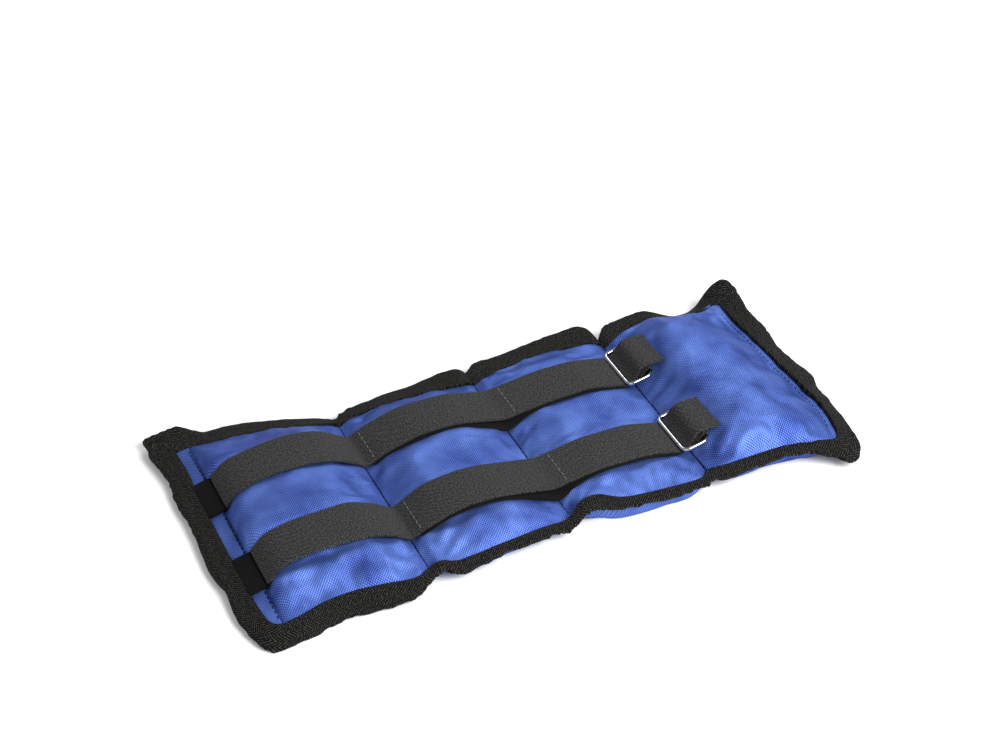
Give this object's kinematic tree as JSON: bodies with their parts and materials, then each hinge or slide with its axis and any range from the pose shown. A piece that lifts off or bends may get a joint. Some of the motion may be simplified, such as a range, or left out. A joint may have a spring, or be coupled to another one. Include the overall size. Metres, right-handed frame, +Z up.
{
  "type": "ankle cuff weight",
  "caption": "Flat open cuff of blue nylon pockets filled with sand, bound in black tape, with webbing straps that thread wire rings to close it round an ankle.",
  "frame": {"origin": "centre of the footprint on the floor", "axes": "+X along the cuff from the loose strap ends to the plain end pocket, +Y across to the rear edge, +Z up off the floor"},
  "size_m": [0.353, 0.162, 0.0322],
  "materials": {
    "blue_woven_nylon": "woven nylon, satin",
    "black_binding_tape": "twill tape, matt",
    "dark_webbing": "brushed webbing, matt",
    "near_black_hook_tape": "hook tape, matt",
    "black_thread": "polyester thread",
    "chromed_wire": "bright chrome plate",
    "bagged_sand": "heavy sand in a plain bag"
  },
  "bodies": {
    "pocket_1": {"front_cover_1": "blue_woven_nylon", "back_cover_1": "blue_woven_nylon", "sand_bag_1": "bagged_sand", "binding_left_end": "black_binding_tape", "seam_thread_0": "black_thread", "rear_hook_patch": "near_black_hook_tape", "front_hook_patch": "near_black_hook_tape"},
    "pocket_2": {"front_cover_2": "blue_woven_nylon", "back_cover_2": "blue_woven_nylon", "sand_bag_2": "bagged_sand", "binding_rear_2": "black_binding_tape", "binding_front_2": "black_binding_tape", "seam_thread_1": "black_thread", "rear_strap_2": "dark_webbing", "front_strap_2": "dark_webbing"},
    "pocket_3": {"front_cover_3": "blue_woven_nylon", "back_cover_3": "blue_woven_nylon", "sand_bag_3": "bagged_sand", "binding_rear_3": "black_binding_tape", "binding_front_3": "black_binding_tape", "seam_thread_2": "black_thread", "rear_strap_3": "dark_webbing", "front_strap_3": "dark_webbing"},
    "pocket_4": {"front_cover_4": "blue_woven_nylon", "back_cover_4": "blue_woven_nylon", "sand_bag_4": "bagged_sand", "binding_right_end": "black_binding_tape", "seam_thread_3": "black_thread", "rear_ring_keeper": "dark_webbing", "front_ring_keeper": "dark_webbing"},
    "rear_strap_end": {"rear_strap_end": "dark_webbing"},
    "rear_ring": {"rear_ring": "chromed_wire"},
    "rear_strap_tail": {"rear_strap_tail": "dark_webbing"},
    "front_strap_end": {"front_strap_end": "dark_webbing"},
    "front_ring": {"front_ring": "chromed_wire"},
    "front_strap_tail": {"front_strap_tail": "dark_webbing"}
  },
  "joints": [
    {"name": "seam_1_fold", "type": "hinge", "parent": "pocket_2", "child": "pocket_1", "pos_m": [-0.0765, 0, 0.009], "axis": [0, -1, 0], "range_deg": [-20, 75]},
    {"name": "seam_2_fold", "type": "hinge", "parent": "pocket_2", "child": "pocket_3", "pos_m": [0.0035, 0, 0.009], "axis": [0, 1, 0], "range_deg": [-20, 75]},
    {"name": "seam_3_fold", "type": "hinge", "parent": "pocket_3", "child": "pocket_4", "pos_m": [0.0835, 0, 0.009], "axis": [0, 1, 0], "range_deg": [0, 75]},
    {"name": "rear_strap_lift", "type": "hinge", "parent": "pocket_1", "child": "rear_strap_end", "pos_m": [-0.0765, 0.0305, 0.0131], "axis": [0, 1, 0], "range_deg": [0, 80]},
    {"name": "rear_ring_swing", "type": "hinge", "parent": "pocket_4", "child": "rear_ring", "pos_m": [0.09143, 0.0305, 0.02055], "axis": [0, 1, 0], "range_deg": [0, 70]},
    {"name": "rear_tail_lift", "type": "hinge", "parent": "pocket_4", "child": "rear_strap_tail", "pos_m": [0.0796, 0.0305, 0.0158], "axis": [0, -1, 0], "range_deg": [0, 15]},
    {"name": "front_strap_lift", "type": "hinge", "parent": "pocket_1", "child": "front_strap_end", "pos_m": [-0.0765, -0.0305, 0.0131], "axis": [0, 1, 0], "range_deg": [0, 80]},
    {"name": "front_ring_swing", "type": "hinge", "parent": "pocket_4", "child": "front_ring", "pos_m": [0.09143, -0.0305, 0.02055], "axis": [0, 1, 0], "range_deg": [0, 70]},
    {"name": "front_tail_lift", "type": "hinge", "parent": "pocket_4", "child": "front_strap_tail", "pos_m": [0.0796, -0.0305, 0.0158], "axis": [0, -1, 0], "range_deg": [0, 15]}
  ]
}
